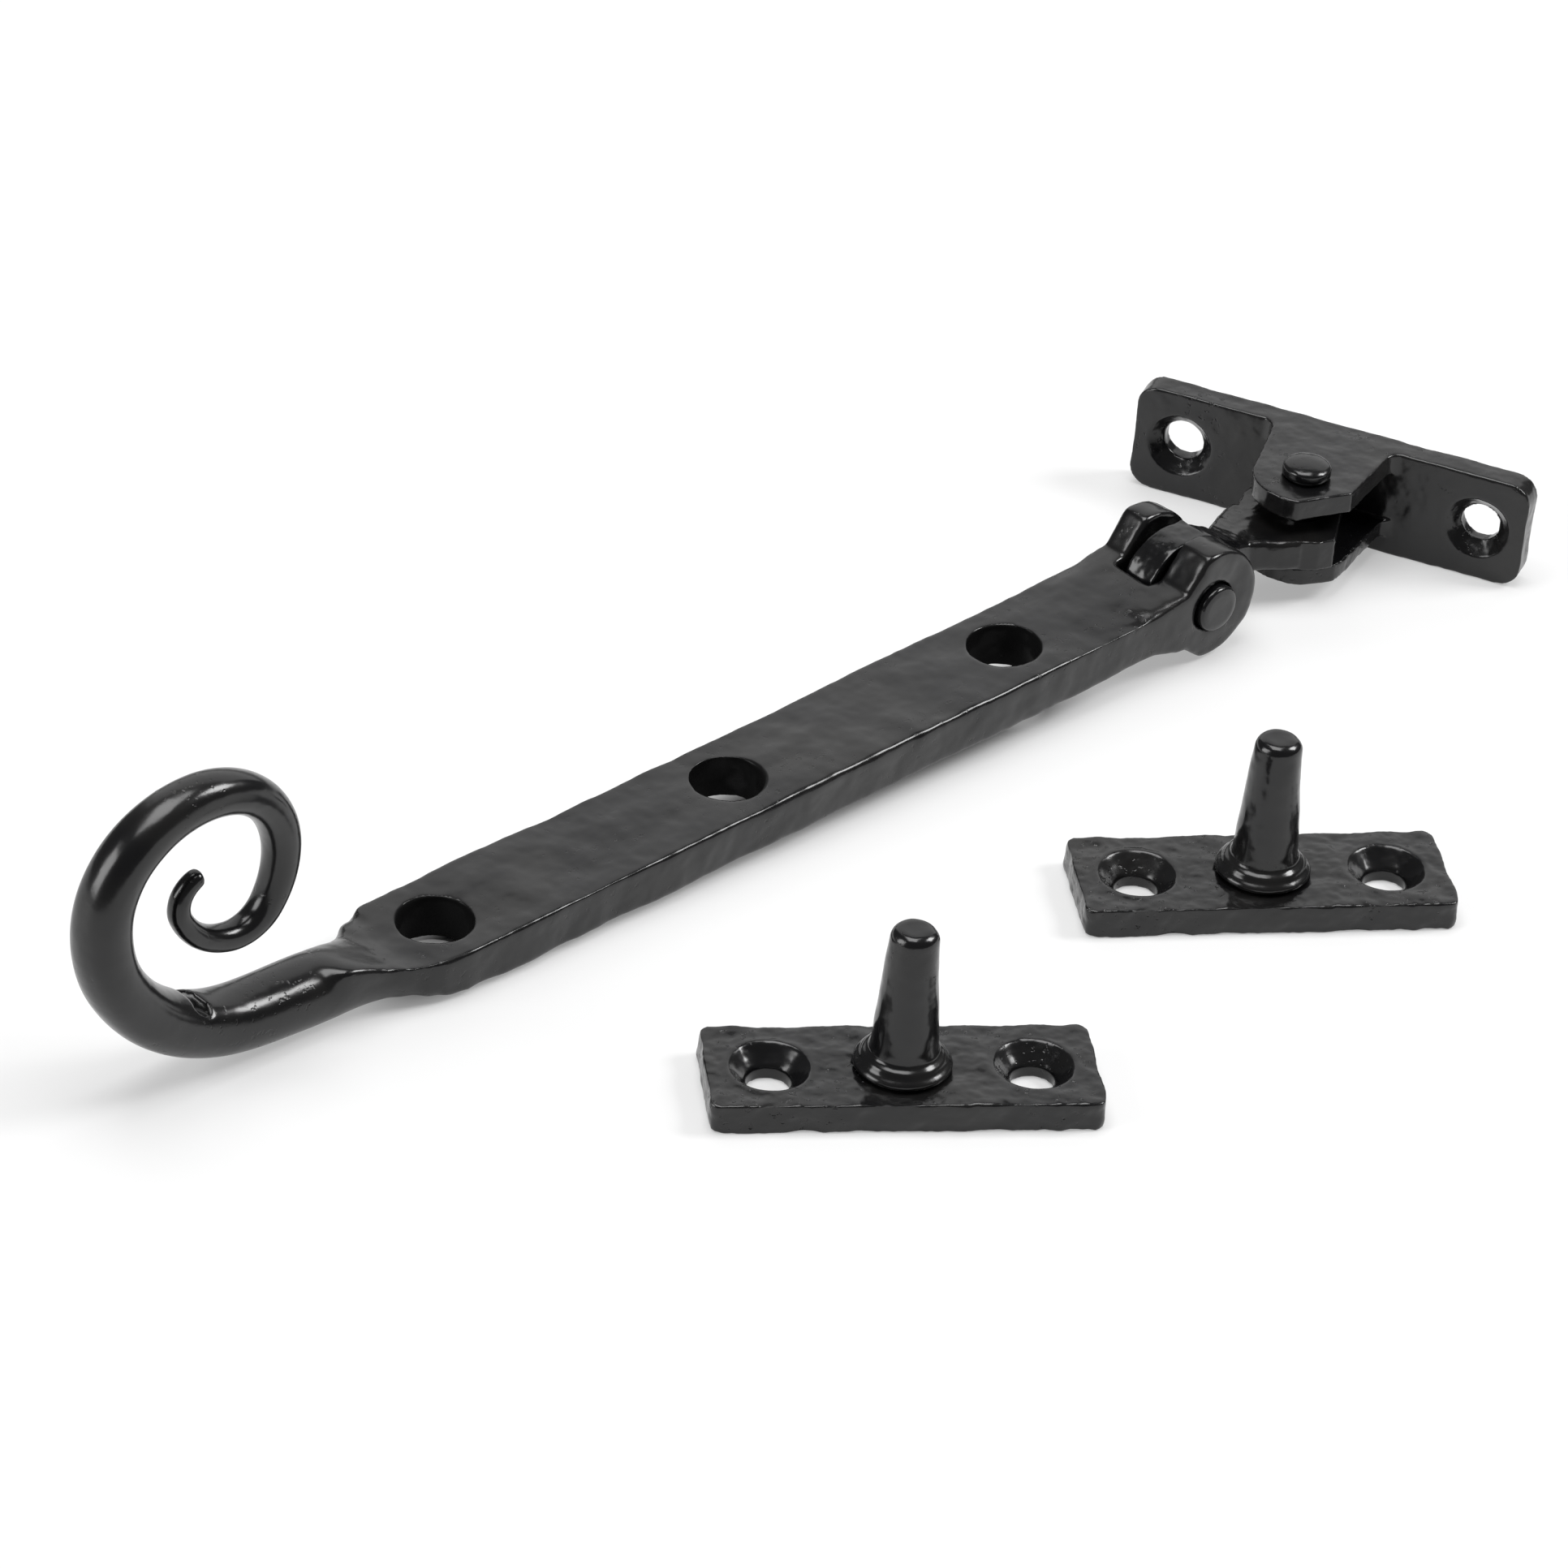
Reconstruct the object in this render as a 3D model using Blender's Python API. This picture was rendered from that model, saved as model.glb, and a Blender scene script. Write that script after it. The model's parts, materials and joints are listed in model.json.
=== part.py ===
"""Curled-tail casement stay with a swivelling wall bracket and two loose stay pins.

Metres, +Z up. The arm lies along X with its curled tail at -X and its forked end at +X, as it rests
on a table: on its neck, on its ears, on the bracket's plate and on the two pin plates. The origin is
the middle of the whole set's footprint, on the table.
"""

import math

import bmesh
import bpy
from mathutils import Vector

# Clearances.
GAP = 0.0003                 # between touching pieces
OVERLAP = 0.0010             # how far a joined shape reaches into its neighbour
CUT_MARGIN = 0.0040          # how far a cutter runs past the faces it opens

# Arm: a flat bar with three peg holes, in its own frame with the origin at the middle hole.
ARM_PITCH_DEG = 1.83         # the neck rests lower than the ears
ARM_HEIGHT = 0.00527         # middle of the bar at the middle hole, above the table
BAR_HALF_WIDTH = 0.00845
BAR_HALF_THICK = 0.00325
BAR_CORNER = 0.0009
BAR_END_X = 0.0780
SHOULDER_X = -0.0560
HOLE_PITCH = 0.0500
PEG_HOLE_RADIUS = 0.0048

# Neck and curl: round bar along a chain of arcs, each a radius and a turn.
NECK_START = (-0.0661, 0.0015)
NECK_SLOPE_DEG = 3.8
NECK_LENGTH = 0.0138
CURL_BENDS = (
    (0.0255, 57),
    (0.0190, 34),
    (0.0130, 50),
    (0.0150, 55),
    (0.0130, 104),
    (0.0060, 66),
    (0.0100, 58),
    (0.0038, 108),
)
CURL_STEP = 0.0021
CURL_ROOT_RADIUS = 0.0047
CURL_TIP_RADIUS = 0.0013
CURL_TAPER = 1.5             # above 1 keeps the bar stout for longer
ROUND_BAR_CORNER = 0.98      # corner radius of the neck and curl, as a share of their radius
TIP_SHARES = (0.0, 0.45, 0.75)   # where the blunt tip's rings stand, as shares of its radius
SHOULDER_STEPS = 5

# Fork: two ears about the cross rivet, in the arm's frame.
PIVOT = (0.0821, 0.0008)
EAR_RADIUS = 0.0084
EAR_HALF_WIDTH = 0.00855
EAR_FACET_X = 0.0760
EAR_FACET_DEG = 101
SLOT_FLOOR_X = 0.0747
SLOT_SIDES = (-0.0028, 0.0040)
CROSS_RIVET_RADIUS = 0.0034
CROSS_RIVET_PROUD = 0.0009
EAR_ARC_POINTS = 25

# Swivel link: an upright eye in the fork and a flat eye in the bracket, from the cross rivet's axis.
LINK_LENGTH = 0.0257
LINK_EYE_RADIUS = 0.0071
LINK_HALF_THICK = 0.0025
LINK_SHOULDER_X = 0.0070
FLAT_EYE_RADIUS = 0.0070
FLAT_EYE_THICK = 0.0047
FLAT_EYE_DROP = 0.0004
NECK_CORNER_SHARE = 0.5      # corner radius of the link's neck, as a share of its smaller half size
NECK_STATIONS = (            # along the link, half width, half height
    (0.0055, 0.0024, 0.0069),
    (0.0089, 0.0027, 0.0060),
    (0.0110, 0.0036, 0.0044),
    (0.0135, 0.0052, 0.0030),
    (0.0160, 0.0062, 0.0023),
    (0.0190, 0.0064, 0.0022),
)

# Bracket: plate and two lugs, from the upright rivet's axis, with the plate on the +Y side.
BRACKET_SWING_DEG = 24.8     # from square to the arm
PLATE_LENGTH = 0.0590
PLATE_HEIGHT = 0.0164
PLATE_THICK = 0.0042
PLATE_SETBACK = 0.0118
PLATE_CORNER = 0.0030
LUG_RADIUS = 0.0075
LUG_ROOT_HALF = 0.0086
LUG_FILLET = 0.0018
UPPER_LUG = (0.0132, 0.0164)    # underside and top, above the plate's lower edge
LOWER_LUG = (0.0029, 0.0055)
UPRIGHT_RIVET_RADIUS = 0.0026
UPRIGHT_HEAD_RADIUS = 0.0034
UPRIGHT_HEAD_HEIGHT = 0.0023
UPRIGHT_DOME_SHARE = 0.5     # the part of the head's height that is domed
UPRIGHT_DOME_TILTS = (0, 25, 50, 72, 85)
UPRIGHT_FOOT_SPREAD = 0.0006
UPRIGHT_FOOT_HEIGHT = 0.0008
BRACKET_HOLE_SPACING = 0.0446
BRACKET_HOLE_RADIUS = 0.0029
BRACKET_SINK_RADIUS = 0.0048

# Stay pins: a screw plate with a tapered peg riveted through it, from the peg's axis.
PIN_LENGTH = 0.0500
PIN_WIDTH = 0.0175
PIN_THICK = 0.00425
PIN_CORNER = 0.0022
PIN_HOLE_SPACING = 0.0333
PIN_HOLE_RADIUS = 0.0028
PIN_SINK_RADIUS = 0.0052
PEG_SHANK_RADIUS = 0.0030
PEG_COLLAR_RADIUS = 0.0063
PEG_COLLAR_HEIGHT = 0.0012
PEG_BASE_RADIUS = 0.0045
PEG_TOP_RADIUS = 0.0031
PEG_HEIGHT = 0.0208          # above the plate
PEG_DOME_SHARE = 0.55        # height of the peg's domed top, as a share of its radius
PEG_DOME_TILTS = (0, 20, 40, 60, 80)
PINS = (                     # name, place along and across the arm, turn
    ("tail_pin", -0.0209, -0.0559, -36.1),
    ("fork_pin", 0.0466, -0.0529, -34.3),
)

EDGE_BEVEL = 0.0005
BEVEL_LIMIT_DEG = 50
SHARP_EDGE_DEG = 35
ROUND_SEGMENTS = 40
RIVET_SEGMENTS = 32
RING_POINTS_PER_CORNER = 6
LUG_NOSE_POINTS = 21
LUG_FILLET_POINTS = 5
LUG_TOP_DROP = EDGE_BEVEL / 4    # keeps the upper lug's top clear of the plate's

ENAMEL_COLOUR = (0.011, 0.011, 0.012, 1.0)
ENAMEL_ROUGHNESS = 0.24
RIVET_COLOUR = (0.013, 0.013, 0.014, 1.0)
RIVET_ROUGHNESS = 0.20


def clear_scene():
    for obj in list(bpy.data.objects):
        bpy.data.objects.remove(obj, do_unlink=True)


def make_material(name, colour, roughness):
    material = bpy.data.materials.new(name)
    material.use_nodes = True
    shader = material.node_tree.nodes["Principled BSDF"]
    shader.inputs["Base Color"].default_value = colour
    shader.inputs["Roughness"].default_value = roughness
    shader.inputs["Metallic"].default_value = 0.0
    return material


def add_empty(name, parent, location, turn_deg=(0.0, 0.0, 0.0)):
    empty = bpy.data.objects.new(name, None)
    bpy.context.collection.objects.link(empty)
    empty.parent = parent
    empty.location = location
    empty.rotation_euler = [math.radians(turn) for turn in turn_deg]
    return empty


def add_object(name, bm, parent, material=None):
    """Link a closed mesh as an object at its parent's origin, shaded smooth with sharp corners."""
    bmesh.ops.recalc_face_normals(bm, faces=bm.faces)
    mesh = bpy.data.meshes.new(name)
    bm.to_mesh(mesh)
    bm.free()
    mesh.shade_smooth()
    mesh.set_sharp_from_angle(angle=math.radians(SHARP_EDGE_DEG))
    obj = bpy.data.objects.new(name, mesh)
    bpy.context.collection.objects.link(obj)
    obj.parent = parent
    if material:
        mesh.materials.append(material)
    return obj


def add_boolean(obj, operation, tool):
    """Join or cut with a helper shape, which is hidden and left out of the model."""
    tool.hide_render = True
    tool.display_type = "WIRE"
    modifier = obj.modifiers.new(operation.title() + " " + tool.name, "BOOLEAN")
    modifier.operation = operation
    modifier.object = tool
    modifier.solver = "EXACT"


def add_bevel(obj, width=EDGE_BEVEL, segments=2):
    modifier = obj.modifiers.new("Soft edges", "BEVEL")
    modifier.width = width
    modifier.segments = segments
    modifier.limit_method = "ANGLE"
    modifier.angle_limit = math.radians(BEVEL_LIMIT_DEG)


def arc(centre, radius, start_deg, end_deg, count):
    """Points on a circle in a plane, both ends included."""
    points = []
    for k in range(count):
        angle = math.radians(start_deg + (end_deg - start_deg) * k / (count - 1))
        points.append((centre[0] + radius * math.cos(angle), centre[1] + radius * math.sin(angle)))
    return points


def rounded_rectangle(half_u, half_v, corner, count=RING_POINTS_PER_CORNER):
    """Outline points with round corners. A corner as large as both halves gives a circle."""
    points = []
    for quarter, (side_u, side_v) in enumerate(((1, 1), (-1, 1), (-1, -1), (1, -1))):
        for k in range(count):
            angle = math.radians(90) * (quarter + (k + 0.5) / count)
            u = side_u * (half_u - corner) + corner * math.cos(angle)
            v = side_v * (half_v - corner) + corner * math.sin(angle)
            points.append((u, v))
    return points


def prism(outline, low, high, plane):
    """Extrude an outline from low to high. The plane is XY, XZ or YZ."""
    def place(u, v, w):
        return {"XY": (u, v, w), "XZ": (u, w, v), "YZ": (w, u, v)}[plane]
    bm = bmesh.new()
    bottom = bm.faces.new([bm.verts.new(place(u, v, low)) for u, v in outline])
    moved = bmesh.ops.extrude_face_region(bm, geom=[bottom])["geom"]
    shift = Vector(place(0.0, 0.0, high - low))
    bmesh.ops.translate(bm, vec=shift, verts=[v for v in moved if isinstance(v, bmesh.types.BMVert)])
    return bm


def loft(rings):
    """Close a skin over rings of points that all have the same count."""
    bm = bmesh.new()
    rows = [[bm.verts.new(point) for point in ring] for ring in rings]
    for row, following in zip(rows, rows[1:]):
        for k in range(len(row)):
            after = (k + 1) % len(row)
            bm.faces.new((row[k], row[after], following[after], following[k]))
    bm.faces.new(rows[0])
    bm.faces.new(list(reversed(rows[-1])))
    return bm


def turned(profile, axis="Z", segments=ROUND_SEGMENTS):
    """Turn a profile of (radius, height) points, flat at both ends, about an axis."""
    rings = []
    for radius, height in profile:
        ring = []
        for k in range(segments):
            angle = math.tau * k / segments
            u = radius * math.cos(angle)
            v = radius * math.sin(angle)
            ring.append((u, v, height) if axis == "Z" else (u, height, v))
        rings.append(ring)
    return loft(rings)


def add_round_cutter(name, parent, radius, low, high, place=(0.0, 0.0, 0.0), axis="Z"):
    cutter = add_object(name, turned([(radius, low), (radius, high)], axis), parent)
    cutter.location = place
    return cutter


def add_screw_cutter(name, parent, hole_radius, sink_radius, thick, place):
    """A clearance hole with a 90 degree countersink whose mouth is at z = 0, cut downwards."""
    sink_depth = sink_radius - hole_radius
    profile = [
        (hole_radius, -thick - CUT_MARGIN),
        (hole_radius, -sink_depth),
        (sink_radius, 0.0),
        (sink_radius + CUT_MARGIN, CUT_MARGIN),
    ]
    cutter = add_object(name, turned(profile), parent)
    cutter.location = place
    return cutter


def smooth_step(t):
    return t * t * (3.0 - 2.0 * t)


def arm_stations():
    """Stations along the arm: place, heading, half width, half height and corner radius."""
    stations = []
    for x in (BAR_END_X, SHOULDER_X):
        stations.append(((x, 0.0), math.pi, BAR_HALF_WIDTH, BAR_HALF_THICK, BAR_CORNER))
    root = CURL_ROOT_RADIUS
    for k in range(1, SHOULDER_STEPS):
        t = k / SHOULDER_STEPS
        ease = smooth_step(t)
        x = SHOULDER_X + (NECK_START[0] - SHOULDER_X) * t
        z = NECK_START[1] * ease
        half_width = BAR_HALF_WIDTH + (root - BAR_HALF_WIDTH) * ease
        half_thick = BAR_HALF_THICK + (root - BAR_HALF_THICK) * ease
        corner = BAR_CORNER + (root * ROUND_BAR_CORNER - BAR_CORNER) * ease
        stations.append(((x, z), math.pi, half_width, half_thick, corner))

    bends = [(0.0, NECK_LENGTH)]
    for radius, turn_deg in CURL_BENDS:
        length = radius * math.radians(turn_deg)
        bends.append((1.0 / radius, length))
    total = sum(length for curvature, length in bends)
    x, z = NECK_START
    heading = math.pi - math.radians(NECK_SLOPE_DEG)
    travelled = 0.0
    for curvature, length in bends:
        steps = max(2, round(length / CURL_STEP))
        step = length / steps
        for k in range(steps):
            radius = curl_radius(travelled / total)
            stations.append(((x, z), heading, radius, radius, radius * ROUND_BAR_CORNER))
            heading -= curvature * step / 2
            x += step * math.cos(heading)
            z += step * math.sin(heading)
            heading -= curvature * step / 2
            travelled += step
    for share in TIP_SHARES:
        radius = CURL_TIP_RADIUS * math.sqrt(1.0 - share * share)
        reach = CURL_TIP_RADIUS * share
        place = (x + reach * math.cos(heading), z + reach * math.sin(heading))
        stations.append((place, heading, radius, radius, radius * ROUND_BAR_CORNER))
    return stations


def curl_radius(share):
    """Bar radius at a share of the neck and curl's length."""
    return CURL_TIP_RADIUS + (CURL_ROOT_RADIUS - CURL_TIP_RADIUS) * (1.0 - share ** CURL_TAPER)


def arm_bar():
    rings = []
    for (x, z), heading, half_width, half_height, corner in arm_stations():
        ring = []
        for u, v in rounded_rectangle(half_width, half_height, corner):
            ring.append((x + v * math.sin(heading), u, z - v * math.cos(heading)))
        rings.append(ring)
    return loft(rings)


def ear_outline():
    """Side view of the fork: flat facets up from the bar, then round about the pivot."""
    outline = [(SLOT_FLOOR_X - OVERLAP, BAR_HALF_THICK - GAP), (EAR_FACET_X, BAR_HALF_THICK - GAP)]
    outline += arc(PIVOT, EAR_RADIUS, EAR_FACET_DEG, -EAR_FACET_DEG, EAR_ARC_POINTS)
    outline += [(EAR_FACET_X, GAP - BAR_HALF_THICK), (SLOT_FLOOR_X - OVERLAP, GAP - BAR_HALF_THICK)]
    return outline


def build_arm(frame, material):
    arm = add_object("stay_arm", arm_bar(), frame, material)
    ears = add_object("ear_block", prism(ear_outline(), -EAR_HALF_WIDTH, EAR_HALF_WIDTH, "XZ"), frame)
    add_boolean(arm, "UNION", ears)
    slot_reach = PIVOT[0] + EAR_RADIUS + CUT_MARGIN
    slot_half = EAR_RADIUS + CUT_MARGIN
    slot_outline = [
        (SLOT_FLOOR_X, SLOT_SIDES[0]),
        (slot_reach, SLOT_SIDES[0]),
        (slot_reach, SLOT_SIDES[1]),
        (SLOT_FLOOR_X, SLOT_SIDES[1]),
    ]
    slot = add_object("slot_cutter", prism(slot_outline, -slot_half, slot_half, "XY"), frame)
    add_boolean(arm, "DIFFERENCE", slot)
    reach = EAR_HALF_WIDTH + CUT_MARGIN
    place = (PIVOT[0], 0.0, PIVOT[1])
    bore_radius = CROSS_RIVET_RADIUS + GAP
    bore = add_round_cutter("cross_bore_cutter", frame, bore_radius, -reach, reach, place, "Y")
    add_boolean(arm, "DIFFERENCE", bore)
    reach = BAR_HALF_THICK + CUT_MARGIN
    for k in (-1, 0, 1):
        place = (k * HOLE_PITCH, 0.0, 0.0)
        hole = add_round_cutter(f"peg_hole_cutter_{k + 2}", frame, PEG_HOLE_RADIUS, -reach, reach, place)
        add_boolean(arm, "DIFFERENCE", hole)
    return arm


def build_arm_rivet(frame, material):
    reach = EAR_HALF_WIDTH + CROSS_RIVET_PROUD
    soft = EDGE_BEVEL
    profile = [
        (CROSS_RIVET_RADIUS - soft, -reach),
        (CROSS_RIVET_RADIUS, -reach + soft),
        (CROSS_RIVET_RADIUS, reach - soft),
        (CROSS_RIVET_RADIUS - soft, reach),
    ]
    rivet = add_object("arm_rivet", turned(profile, "Y"), frame, material)
    rivet.location = (PIVOT[0], 0.0, PIVOT[1])
    return rivet


def build_link(frame, material):
    outline = arc((0.0, 0.0), LINK_EYE_RADIUS, 90, 270, EAR_ARC_POINTS)
    outline += [(LINK_SHOULDER_X, -LINK_EYE_RADIUS), (LINK_SHOULDER_X, LINK_EYE_RADIUS)]
    upright_eye = prism(outline, -LINK_HALF_THICK, LINK_HALF_THICK, "XZ")
    link = add_object("swivel_link", upright_eye, frame, material)

    rings = []
    for x, half_width, half_height in NECK_STATIONS:
        corner = NECK_CORNER_SHARE * min(half_width, half_height)
        outline = rounded_rectangle(half_width, half_height, corner)
        rings.append([(x, u, v - FLAT_EYE_DROP * x / LINK_LENGTH) for u, v in outline])
    neck = add_object("link_neck", loft(rings), frame)
    add_boolean(link, "UNION", neck)

    low = -FLAT_EYE_DROP - FLAT_EYE_THICK / 2
    soft = EDGE_BEVEL
    profile = [
        (FLAT_EYE_RADIUS - soft, low),
        (FLAT_EYE_RADIUS, low + soft),
        (FLAT_EYE_RADIUS, low + FLAT_EYE_THICK - soft),
        (FLAT_EYE_RADIUS - soft, low + FLAT_EYE_THICK),
    ]
    flat_eye = add_object("flat_eye", turned(profile), frame)
    flat_eye.location = (LINK_LENGTH, 0.0, 0.0)
    add_boolean(link, "UNION", flat_eye)

    reach = LINK_HALF_THICK + CUT_MARGIN
    radius = CROSS_RIVET_RADIUS + GAP
    bore = add_round_cutter("upright_eye_cutter", frame, radius, -reach, reach, axis="Y")
    add_boolean(link, "DIFFERENCE", bore)
    reach = FLAT_EYE_THICK + CUT_MARGIN
    radius = UPRIGHT_RIVET_RADIUS + GAP
    place = (LINK_LENGTH, 0.0, 0.0)
    bore = add_round_cutter("flat_eye_cutter", frame, radius, -reach, reach, place)
    add_boolean(link, "DIFFERENCE", bore)
    return link


def lug_outline():
    """Plan of a lug: round about the rivet, filleted into the plate."""
    root_y = PLATE_SETBACK
    centre_y = root_y - LUG_FILLET
    right = arc((LUG_ROOT_HALF + LUG_FILLET, centre_y), LUG_FILLET, 90, 180, LUG_FILLET_POINTS)
    nose = arc((0.0, 0.0), LUG_RADIUS, 0, -180, LUG_NOSE_POINTS)
    left = arc((-LUG_ROOT_HALF - LUG_FILLET, centre_y), LUG_FILLET, 0, 90, LUG_FILLET_POINTS)
    inside = [(left[-1][0], root_y + OVERLAP), (right[0][0], root_y + OVERLAP)]
    return right + nose + left + inside


def build_bracket(frame, material):
    outline = rounded_rectangle(PLATE_LENGTH / 2, PLATE_HEIGHT / 2, PLATE_CORNER)
    outline = [(u, v + PLATE_HEIGHT / 2) for u, v in outline]
    plate = prism(outline, PLATE_SETBACK, PLATE_SETBACK + PLATE_THICK, "XZ")
    bracket = add_object("bracket", plate, frame, material)
    add_bevel(bracket)
    for name, (low, high) in (("upper_lug", UPPER_LUG), ("lower_lug", LOWER_LUG)):
        lug = add_object(name, prism(lug_outline(), low, high, "XY"), frame)
        if high == PLATE_HEIGHT:
            lug.location = (0.0, 0.0, -LUG_TOP_DROP)
        add_bevel(lug)
        add_boolean(bracket, "UNION", lug)
    radius = UPRIGHT_RIVET_RADIUS + GAP
    bore = add_round_cutter("upright_bore_cutter", frame, radius, -CUT_MARGIN, PLATE_HEIGHT + CUT_MARGIN)
    add_boolean(bracket, "DIFFERENCE", bore)
    for side, label in ((-1, "left"), (1, "right")):
        place = (side * BRACKET_HOLE_SPACING / 2, PLATE_SETBACK, PLATE_HEIGHT / 2)
        name = f"bracket_screw_cutter_{label}"
        sink = add_screw_cutter(name, frame, BRACKET_HOLE_RADIUS, BRACKET_SINK_RADIUS, PLATE_THICK, place)
        sink.rotation_euler = (math.radians(90), 0.0, 0.0)
        add_boolean(bracket, "DIFFERENCE", sink)
    return bracket


def build_bracket_rivet(frame, material):
    head_low = PLATE_HEIGHT + GAP
    dome_height = UPRIGHT_HEAD_HEIGHT * UPRIGHT_DOME_SHARE
    dome_low = head_low + UPRIGHT_HEAD_HEIGHT - dome_height
    foot = LOWER_LUG[0] - GAP
    profile = [
        (UPRIGHT_RIVET_RADIUS + UPRIGHT_FOOT_SPREAD / 2, foot - UPRIGHT_FOOT_HEIGHT),
        (UPRIGHT_RIVET_RADIUS + UPRIGHT_FOOT_SPREAD, foot),
        (UPRIGHT_RIVET_RADIUS, foot),
        (UPRIGHT_RIVET_RADIUS, head_low),
        (UPRIGHT_HEAD_RADIUS, head_low),
    ]
    for tilt in UPRIGHT_DOME_TILTS:
        angle = math.radians(tilt)
        profile.append((UPRIGHT_HEAD_RADIUS * math.cos(angle), dome_low + dome_height * math.sin(angle)))
    return add_object("bracket_rivet", turned(profile, segments=RIVET_SEGMENTS), frame, material)


def build_pin(name, frame, plate_material, peg_material):
    outline = rounded_rectangle(PIN_LENGTH / 2, PIN_WIDTH / 2, PIN_CORNER)
    plate = add_object(f"{name}_plate", prism(outline, 0.0, PIN_THICK, "XY"), frame, plate_material)
    add_bevel(plate)
    radius = PEG_SHANK_RADIUS + GAP
    bore = add_round_cutter(f"{name}_bore_cutter", frame, radius, -CUT_MARGIN, PIN_THICK + CUT_MARGIN)
    add_boolean(plate, "DIFFERENCE", bore)
    for side, label in ((-1, "left"), (1, "right")):
        place = (side * PIN_HOLE_SPACING / 2, 0.0, PIN_THICK)
        cutter_name = f"{name}_screw_cutter_{label}"
        sink = add_screw_cutter(cutter_name, frame, PIN_HOLE_RADIUS, PIN_SINK_RADIUS, PIN_THICK, place)
        add_boolean(plate, "DIFFERENCE", sink)

    collar_low = PIN_THICK + GAP
    collar_high = collar_low + PEG_COLLAR_HEIGHT
    step_radius = (PEG_COLLAR_RADIUS + PEG_BASE_RADIUS) / 2
    dome_height = PEG_TOP_RADIUS * PEG_DOME_SHARE
    dome_low = PIN_THICK + PEG_HEIGHT - dome_height
    profile = [
        (PEG_SHANK_RADIUS, GAP),
        (PEG_SHANK_RADIUS, collar_low),
        (PEG_COLLAR_RADIUS, collar_low),
        (PEG_COLLAR_RADIUS, collar_high - EDGE_BEVEL),
        (PEG_COLLAR_RADIUS - EDGE_BEVEL, collar_high),
        (step_radius, collar_high + EDGE_BEVEL / 2),
        (PEG_BASE_RADIUS, collar_high + 2 * EDGE_BEVEL),
    ]
    for tilt in PEG_DOME_TILTS:
        angle = math.radians(tilt)
        profile.append((PEG_TOP_RADIUS * math.cos(angle), dome_low + dome_height * math.sin(angle)))
    return plate, add_object(f"{name}_peg", turned(profile, segments=RIVET_SEGMENTS), frame, peg_material)


def centre_on_footprint(root, pieces):
    """Move the root so that the set stands on z = 0 about the origin."""
    bpy.context.view_layer.update()
    depsgraph = bpy.context.evaluated_depsgraph_get()
    corners = []
    for piece in pieces:
        evaluated = piece.evaluated_get(depsgraph)
        mesh = evaluated.to_mesh()
        corners += [evaluated.matrix_world @ vertex.co for vertex in mesh.vertices]
        evaluated.to_mesh_clear()
    low = [min(corner[axis] for corner in corners) for axis in range(3)]
    high = [max(corner[axis] for corner in corners) for axis in range(3)]
    root.location = (-(low[0] + high[0]) / 2, -(low[1] + high[1]) / 2, -low[2])


def main():
    clear_scene()
    enamel = make_material("black_enamel", ENAMEL_COLOUR, ENAMEL_ROUGHNESS)
    rivet_enamel = make_material("rivet_enamel", RIVET_COLOUR, RIVET_ROUGHNESS)

    root = add_empty("set_root", None, (0.0, 0.0, 0.0))
    arm_frame = add_empty("arm_frame", root, (0.0, 0.0, ARM_HEIGHT), (0.0, -ARM_PITCH_DEG, 0.0))
    pitch = math.radians(ARM_PITCH_DEG)
    pivot_x = PIVOT[0] * math.cos(pitch) - PIVOT[1] * math.sin(pitch)
    pivot_z = ARM_HEIGHT + PIVOT[0] * math.sin(pitch) + PIVOT[1] * math.cos(pitch)
    link_frame = add_empty("link_frame", root, (pivot_x, 0.0, pivot_z))
    square_deg = -90.0
    swing = (0.0, 0.0, square_deg + BRACKET_SWING_DEG)
    bracket_frame = add_empty("bracket_frame", root, (pivot_x + LINK_LENGTH, 0.0, 0.0), swing)

    pieces = [
        build_arm(arm_frame, enamel),
        build_arm_rivet(arm_frame, rivet_enamel),
        build_link(link_frame, enamel),
        build_bracket(bracket_frame, enamel),
        build_bracket_rivet(bracket_frame, rivet_enamel),
    ]
    for name, along, across, turn in PINS:
        pin_frame = add_empty(f"{name}_frame", root, (along, across, 0.0), (0.0, 0.0, turn))
        pieces += build_pin(name, pin_frame, enamel, rivet_enamel)
    centre_on_footprint(root, pieces)


main()
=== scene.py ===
import json
import math

import bpy
from mathutils import Matrix, Vector


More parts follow.
